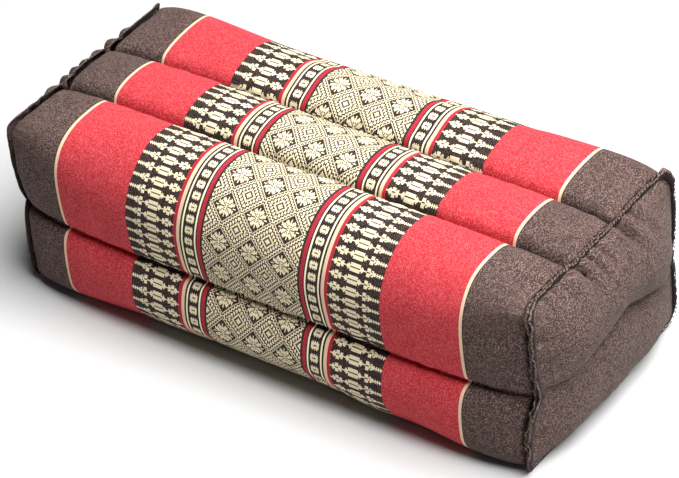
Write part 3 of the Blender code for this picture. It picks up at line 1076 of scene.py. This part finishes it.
def swell(thing, free):
    """Run the cloth simulation and keep its movement of the free vertices, within the cap."""
    cover = scene_settings("cover")
    group = thing.vertex_groups.new(name="sewn")
    for index, weight in enumerate(1.0 - free):
        if weight > 0:
            group.add([index], float(weight), "REPLACE")
    modifier = thing.modifiers.new("Stuffing", "CLOTH")
    modifier.settings.use_pressure = True
    modifier.settings.uniform_pressure_force = cover.pressure
    modifier.settings.effector_weights.gravity = 0.0
    modifier.settings.vertex_group_mass = "sewn"
    modifier.settings.quality = SWELLING_QUALITY
    modifier.collision_settings.use_collision = False
    modifier.point_cache.frame_start = 1
    modifier.point_cache.frame_end = SWELLING_FRAMES
    for frame_number in range(1, SWELLING_FRAMES + 1):
        bpy.context.scene.frame_set(frame_number)
    graph = bpy.context.evaluated_depsgraph_get()
    swollen = coordinates(thing.evaluated_get(graph).data)
    thing.modifiers.remove(modifier)
    thing.vertex_groups.remove(group)
    bpy.context.scene.frame_set(1)
    before = coordinates(thing.data)
    shift = (swollen - before) * free[:, None]
    length = np.maximum(np.linalg.norm(shift, axis=1, keepdims=True), 1e-9)
    shift *= np.minimum(1.0, cover.cap / length)
    set_coordinates(thing.data, before + shift)


def cover_mesh(material):
    """The stuffed cover as one closed mesh, and which vertices the stuffing may move."""
    cover = scene_settings("cover")
    turns = np.linspace(-1.0, 1.0, RINGS + 1)
    positions = HALF * mix(turns, np.sin(turns * math.pi / 2), END_CROWDING)
    places = cloth_places()
    rings = np.array([section(x) for x in positions])
    normals = grid_normals(rings)
    relief = cover_relief(positions, places[:-1])
    inset = cover.shrink * np.ones(len(positions))
    inset[0] = inset[-1] = 0.0
    relief[0] = relief[-1] = -scene_settings("seam").pinch
    pulls = channel_crevices(positions, places)
    pulls[0] = pulls[-1] = 0.0
    rings = rings + normals * (relief - inset[:, None])[..., None] + pulls
    rings[..., 2] = np.maximum(rings[..., 2], 0.0)
    vertices = list(rings.reshape(-1, 3))
    faces = []
    corners = []
    for ring in range(RINGS):
        for column in range(AROUND):
            after = (column + 1) % AROUND
            faces.append((ring * AROUND + column, ring * AROUND + after,
                          (ring + 1) * AROUND + after, (ring + 1) * AROUND + column))
            low_u, high_u = positions[ring], positions[ring + 1]
            low_v, high_v = places[column], places[column + 1]
            corners.extend([(low_u, low_v), (low_u, high_v), (high_u, high_v), (high_u, low_v)])
    free = np.ones(len(vertices))
    channels = [s.cloth for s in OUTLINE if s.name in CHANNEL_PUCKERS]
    for column in range(AROUND):
        away = min(abs(places[column] - channel) for channel in channels)
        away = min(away, CLOTH_END - places[column])
        ease = min(away / SEWN_REACH, 1.0)
        for ring, x in enumerate(positions):
            free[ring * AROUND + column] = ease * min((HALF - abs(x)) / SEWN_REACH, 1.0)
    free[np.array(vertices)[:, 2] < RESTING_HEIGHT] = 0.0
    for ring, side in ((0, -1), (RINGS, 1)):
        rim = list(range(ring * AROUND, (ring + 1) * AROUND))
        hub = len(vertices)
        vertices.append(np.array([side * (HALF - END_HOLLOW), 0.0, PANEL_MIDDLE_Z]))
        for k, i in enumerate(rim):
            faces.append((i, rim[(k + 1) % AROUND], hub))
            corners.extend([(side * HALF, 0.0)] * 3)
    free = np.concatenate([free, [0.0, 0.0]])
    return mesh_object("woven_cover_cloth", vertices, faces, corners, material), free


class CUSHION_OT_cover(bpy.types.Operator):
    """Make the stuffed, woven cover, sewn in channels"""

    bl_idname = "cushion.cover"
    bl_label = "Woven cover"

    def execute(self, context):
        thing, free = cover_mesh(woven_material())
        swell(thing, free)
        points = coordinates(thing.data)
        points[:, 2] = np.maximum(points[:, 2], 0.0)
        set_coordinates(thing.data, points)
        smooth = thing.modifiers.new("Smooth", "SUBSURF")
        smooth.levels = 1
        smooth.render_levels = 1
        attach(thing, "root")
        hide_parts("woven_cover")
        return {"FINISHED"}


def panel_object(name, side, material):
    """A sheet of cloth over the end of the stuffing."""
    panel = scene_settings("panel")
    grid = end_surface(side, PANEL_UP, PANEL_ACROSS)
    rows, columns = grid.shape[:2]
    normals = outward_normals(grid, side)
    flat = flat_places(grid)
    vertices = []
    faces = []
    corners = []
    for offset in (0.0, panel.thickness):
        start = len(vertices)
        moved = grid + np.array([side * PIECE_GAP, 0.0, 0.0]) + offset * normals
        vertices.extend(moved.reshape(-1, 3))
        for row in range(rows - 1):
            for column in range(columns - 1):
                square = [(row, column), (row, column + 1), (row + 1, column + 1), (row + 1, column)]
                faces.append(tuple(start + r * columns + c for r, c in square))
                corners.extend(flat[r, c] for r, c in square)
    rim = [(0, c) for c in range(columns - 1)]
    rim += [(r, columns - 1) for r in range(rows - 1)]
    rim += [(rows - 1, c) for c in range(columns - 1, 0, -1)]
    rim += [(r, 0) for r in range(rows - 1, 0, -1)]
    layer_size = rows * columns
    for place, after in zip(rim, rim[1:] + rim[:1]):
        low = place[0] * columns + place[1]
        high = after[0] * columns + after[1]
        faces.append((low, high, layer_size + high, layer_size + low))
        ends = [flat[place], flat[after]]
        corners.extend([ends[0], ends[1], ends[1], ends[0]])
    return mesh_object(name, vertices, faces, corners, material)


class CUSHION_OT_panels(bpy.types.Operator):
    """Make the two plain end panels"""

    bl_idname = "cushion.panels"
    bl_label = "End panels"

    def execute(self, context):
        material = panel_material()
        for hand, side in (("right", 1), ("left", -1)):
            thing = panel_object("end_panel_cloth_" + hand, side, material)
            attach(thing, "root")
            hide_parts("end_panel_" + hand)
        return {"FINISHED"}


def seam_path(side):
    """Even points round an end seam, with their outward directions."""
    loop = section(side * HALF, FINE_DETAIL)
    closed = np.concatenate([loop, loop[:1]])
    lengths = np.concatenate([[0.0], np.cumsum(np.linalg.norm(np.diff(closed, axis=0), axis=1))])
    even = np.arange(SEAM_POINTS) / SEAM_POINTS * lengths[-1]
    points = np.stack([np.interp(even, lengths, closed[:, axis]) for axis in range(3)], axis=1)
    ahead = np.roll(points, -DIRECTION_STEPS, axis=0)
    forward = ahead - np.roll(points, DIRECTION_STEPS, axis=0)
    outward = np.stack([np.zeros(SEAM_POINTS), forward[:, 2], -forward[:, 1]], axis=1)
    outward /= np.linalg.norm(outward, axis=1, keepdims=True)
    middle = np.array([0.0, 0.0, PANEL_MIDDLE_Z])
    outward *= np.sign(np.sum(outward * (points - middle), axis=1))[:, None]
    return points, outward, even


def seam_share(points, side):
    """The seam's size at each of its points against its full size, less on the underside."""
    seam = scene_settings("seam")
    rise = np.clip((points[:, 2] - SEAM_LOW_Z) / SEAM_LOW_REACH, 0.0, 1.0)
    share = seam.underside + (1.0 - seam.underside) * rise * rise * (3.0 - 2.0 * rise)
    upright = np.clip((UPRIGHT_SEAM_Y - points[:, 1]) / UPRIGHT_SEAM_REACH, 0.0, 1.0) * rise
    return share * (1.0 + UPRIGHT_SEAM_EXTRA * upright) if side > 0 else share * seam.left_share


def seam_heights(points, even, side):
    """How far the seam stands proud at each of its points, with its tails of cloth."""
    seam = scene_settings("seam")
    raised = seam_share(points, side)
    waves = np.array([seam_ripple(HEIGHT_WAVES, distance, 0, side) for distance in even])
    heights = raised * seam.height * (1.0 + waves)
    for tail in TAILS:
        away = np.hypot(points[:, 1] - tail.y, points[:, 2] - tail.z)
        heights += tail.length * np.exp(-(away / tail.spread) ** 2)
    return heights


def seam_object(name, side, material):
    """The two overlocked raw edges that stand up round an end panel."""
    seam = scene_settings("seam")
    points, outward, even = seam_path(side)
    heights = seam_heights(points, even, side)
    count = len(SEAM_PROFILE)
    share = seam_share(points, side)
    widths = seam.width * share
    vertices = []
    for index, point in enumerate(points):
        lean = {0: 0.0}
        dip = {0: 0.0}
        for edge in (1, 2):
            lean[edge] = seam_ripple(LEAN_WAVES, even[index], edge, side)
            dip[edge] = seam_ripple(DIP_WAVES, even[index], edge, side)
        for spot in SEAM_PROFILE:
            beyond = seam.start * share[index] + spot.across * widths[index]
            leaning = np.clip(spot.proud * SEAM_LEAN_START, 0.0, 1.0)
            beyond += lean[spot.edge] * leaning * share[index]
            proud = PIECE_GAP + spot.proud * heights[index] * (1.0 + dip[spot.edge])
            place = point + outward[index] * proud + np.array([side * beyond, 0.0, 0.0])
            place[2] = max(place[2], SEAM_FLOOR_CLEARANCE)
            vertices.append(place)
    faces = []
    corners = []
    for index in range(SEAM_POINTS):
        after = (index + 1) % SEAM_POINTS
        low = even[index]
        high = low + even[1]
        for k in range(count):
            nxt = (k + 1) % count
            faces.append((index * count + k, index * count + nxt,
                          after * count + nxt, after * count + k))
            left, right = k * SEAM_UV_STEP, (k + 1) * SEAM_UV_STEP
            corners.extend([(low, left), (low, right), (high, right), (high, left)])
    return mesh_object(name, vertices, faces, corners, material)


def stitch_tree():
    """Geometry nodes that sew a row of thread stitches along a closed path of edges."""
    tree = bpy.data.node_groups.new("thread_stitches", "GeometryNodeTree")
    face = tree.interface
    face.new_socket("Path", in_out="INPUT", socket_type="NodeSocketGeometry")
    for name in ("Pitch", "Length", "Width", "Rise", "Thread"):
        face.new_socket(name, in_out="INPUT", socket_type="NodeSocketFloat")
    face.new_socket("Material", in_out="INPUT", socket_type="NodeSocketMaterial")
    face.new_socket("Stitches", in_out="OUTPUT", socket_type="NodeSocketGeometry")
    nodes = Nodes(tree)
    given = nodes.add("NodeGroupInput").outputs

    def offset(x, y, z):
        node = nodes.add("ShaderNodeCombineXYZ")
        for socket, value in zip(node.inputs, (x, y, z)):
            nodes.feed(socket, value)
        return node.outputs[0]

    def scaled(value, factor):
        return nodes.math("MULTIPLY", value, factor)

    curve = nodes.add("GeometryNodeMeshToCurve")
    nodes.feed(curve.inputs["Mesh"], given["Path"])
    even = nodes.add("GeometryNodeResampleCurve", mode="LENGTH")
    nodes.feed(even.inputs["Curve"], curve.outputs["Curve"])
    nodes.feed(even.inputs["Length"], given["Pitch"])
    bend = nodes.add("GeometryNodeCurveQuadraticBezier")
    bend.inputs["Resolution"].default_value = STITCH_BENDS
    nodes.feed(bend.inputs["Start"], offset(scaled(given["Length"], -0.5),
                                            scaled(given["Width"], -0.5), 0.0))
    nodes.feed(bend.inputs["Middle"], offset(0.0, 0.0, given["Rise"]))
    nodes.feed(bend.inputs["End"], offset(scaled(given["Length"], 0.5),
                                          scaled(given["Width"], 0.5), 0.0))
    ring = nodes.add("GeometryNodeCurvePrimitiveCircle")
    ring.inputs["Resolution"].default_value = STITCH_SIDES
    nodes.feed(ring.inputs["Radius"], scaled(given["Thread"], 0.5))
    thread = nodes.add("GeometryNodeCurveToMesh")
    nodes.feed(thread.inputs["Curve"], bend.outputs["Curve"])
    nodes.feed(thread.inputs["Profile Curve"], ring.outputs["Curve"])
    thread.inputs["Fill Caps"].default_value = True
    tangent = nodes.add("GeometryNodeInputTangent")
    outward = nodes.add("GeometryNodeInputNamedAttribute", data_type="FLOAT_VECTOR")
    outward.inputs["Name"].default_value = "outward"
    along = nodes.add("FunctionNodeAlignRotationToVector", axis="X")
    nodes.feed(along.inputs["Vector"], tangent.outputs["Tangent"])
    upright = nodes.add("FunctionNodeAlignRotationToVector", axis="Z", pivot_axis="X")
    nodes.feed(upright.inputs["Rotation"], along.outputs["Rotation"])
    nodes.feed(upright.inputs["Vector"], outward.outputs["Attribute"])
    copies = nodes.add("GeometryNodeInstanceOnPoints")
    nodes.feed(copies.inputs["Points"], even.outputs["Curve"])
    nodes.feed(copies.inputs["Instance"], thread.outputs["Mesh"])
    nodes.feed(copies.inputs["Rotation"], upright.outputs["Rotation"])
    real = nodes.add("GeometryNodeRealizeInstances")
    nodes.feed(real.inputs["Geometry"], copies.outputs["Instances"])
    finish = nodes.add("GeometryNodeSetMaterial")
    nodes.feed(finish.inputs["Geometry"], real.outputs["Geometry"])
    nodes.feed(finish.inputs["Material"], given["Material"])
    result = nodes.add("NodeGroupOutput").inputs
    nodes.feed(result["Stitches"], finish.outputs["Geometry"])
    return tree


def sew(name, points, outward, material, **sizes):
    """Plain mesh of the stitches along a closed path of points with their outward directions."""
    edges = [(k, (k + 1) % len(points)) for k in range(len(points))]
    mesh = bpy.data.meshes.new(name + "_path")
    mesh.from_pydata([tuple(point) for point in points], edges, [])
    attribute = mesh.attributes.new("outward", "FLOAT_VECTOR", "POINT")
    attribute.data.foreach_set("vector", outward.astype(np.float32).ravel())
    path = bpy.data.objects.new(name + "_path", mesh)
    bpy.context.scene.collection.objects.link(path)
    tree = bpy.data.node_groups.get("thread_stitches") or stitch_tree()
    modifier = path.modifiers.new("Stitches", "NODES")
    modifier.node_group = tree
    for socket in tree.interface.items_tree:
        if socket.in_out == "INPUT" and socket.name in sizes:
            modifier[socket.identifier] = sizes[socket.name]
        if socket.in_out == "INPUT" and socket.name == "Material":
            modifier[socket.identifier] = material
    graph = bpy.context.evaluated_depsgraph_get()
    sewn = bpy.data.meshes.new_from_object(path.evaluated_get(graph))
    bpy.data.objects.remove(path, do_unlink=True)
    sewn.name = name
    sewn.shade_smooth()
    thing = bpy.data.objects.new(name, sewn)
    bpy.context.scene.collection.objects.link(thing)
    return thing


class CUSHION_OT_seams(bpy.types.Operator):
    """Make the raised end seams with their overlock stitches"""

    bl_idname = "cushion.seams"
    bl_label = "End seams"

    def execute(self, context):
        seam = scene_settings("seam")
        material = seam_material()
        thread = thread_material()
        for hand, side in (("right", 1), ("left", -1)):
            ridge = seam_object("end_seam_edges_" + hand, side, material)
            points, outward, even = seam_path(side)
            heights = seam_heights(points, even, side)
            share = seam_share(points, side)
            across = share * (seam.start + seam.width / 2)
            middle = points + side * across[:, None] * np.array([1.0, 0.0, 0.0])
            base = middle + outward * (heights * STITCH_BASE)[:, None]
            base[:, 2] = np.maximum(base[:, 2], STITCH_FLOOR_CLEARANCE)
            stitches = sew("end_seam_stitches_" + hand, base, outward, thread,
                           Pitch=seam.pitch, Length=seam.pitch * STITCH_LENGTH,
                           Width=seam.width * share.max() * STITCH_WIDTH,
                           Rise=seam.height * share.max() * STITCH_RISE, Thread=seam.thread)
            for piece in (ridge, stitches):
                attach(piece, "root")
                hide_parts("end_seam_" + hand)
        return {"FINISHED"}


def soft_light(name, place, size, power):
    """A round soft light that points at the cushion."""
    light = bpy.data.lights.new(name, "AREA")
    light.shape = "DISK"
    light.size = size
    light.energy = power
    lamp = bpy.data.objects.new(name, light)
    lamp.location = place
    beam = Vector(LIGHT_TARGET) - Vector(place)
    lamp.rotation_euler = beam.to_track_quat("-Z", "Y").to_euler()
    bpy.context.scene.collection.objects.link(lamp)


class CUSHION_OT_stage(bpy.types.Operator):
    """Lay the floor and set the lights and the camera"""

    bl_idname = "cushion.stage"
    bl_label = "Stage"

    def execute(self, context):
        stage = scene_settings("stage")
        mesh = bpy.data.meshes.new("floor")
        corners = [(FLOOR_REACH * x, FLOOR_REACH * y, 0.0)
                   for x, y in ((-1, -1), (1, -1), (1, 1), (-1, 1))]
        mesh.from_pydata(corners, [], [(0, 1, 2, 3)])
        material = bpy.data.materials.new("pale_floor")
        material.use_nodes = True
        shader = material.node_tree.nodes["Principled BSDF"]
        shader.inputs["Base Color"].default_value = stage.floor
        shader.inputs["Roughness"].default_value = 0.9
        shader.inputs["Specular IOR Level"].default_value = 0.1
        mesh.materials.append(material)
        floor = bpy.data.objects.new("floor", mesh)
        context.scene.collection.objects.link(floor)
        world = bpy.data.worlds.new("studio")
        world.use_nodes = True
        sky = world.node_tree.nodes["Background"]
        sky.inputs["Color"].default_value = (1.0, 1.0, 1.0, 1.0)
        sky.inputs["Strength"].default_value = stage.surround
        context.scene.world = world
        soft_light("key", KEY_PLACE, KEY_SIZE, stage.key_power)
        soft_light("fill", FILL_PLACE, FILL_SIZE, stage.fill_power)
        data = bpy.data.cameras.new("camera")
        data.lens = stage.lens
        data.sensor_width = FILM_WIDTH
        camera = bpy.data.objects.new("camera", data)
        camera.location = CAMERA_PLACE
        camera.rotation_euler = [math.radians(angle) for angle in CAMERA_DEGREES]
        context.scene.collection.objects.link(camera)
        context.scene.camera = camera
        context.scene.view_settings.view_transform = "Standard"
        return {"FINISHED"}


class CUSHION_PT_panel(bpy.types.Panel):
    """Sizes, colours and steps of the cushion"""

    bl_label = "Cushion"
    bl_space_type = "VIEW_3D"
    bl_region_type = "UI"
    bl_category = "Cushion"

    def draw(self, context):
        for name, kind in SETTINGS.items():
            box = self.layout.box()
            box.label(text=name.capitalize())
            group = getattr(context.scene, "cushion_" + name)
            for prop in kind.__annotations__:
                box.prop(group, prop)
        for operator in OPERATORS:
            self.layout.operator(operator.bl_idname)


SETTINGS = {
    "cover": CoverSettings,
    "cloth": ClothSettings,
    "panel": PanelSettings,
    "seam": SeamSettings,
    "stage": StageSettings,
}
OPERATORS = (CUSHION_OT_cover, CUSHION_OT_panels, CUSHION_OT_seams, CUSHION_OT_stage)


def register():
    for kind in (*SETTINGS.values(), *OPERATORS, CUSHION_PT_panel):
        bpy.utils.register_class(kind)
    for name, kind in SETTINGS.items():
        setattr(bpy.types.Scene, "cushion_" + name, bpy.props.PointerProperty(type=kind))


def unregister():
    for name in SETTINGS:
        delattr(bpy.types.Scene, "cushion_" + name)
    for kind in (CUSHION_PT_panel, *reversed(OPERATORS), *reversed(SETTINGS.values())):
        bpy.utils.unregister_class(kind)


def main():
    register()
    bpy.ops.cushion.cover()
    bpy.ops.cushion.panels()
    bpy.ops.cushion.seams()
    bpy.ops.cushion.stage()


if __name__ == "__main__":
    main()
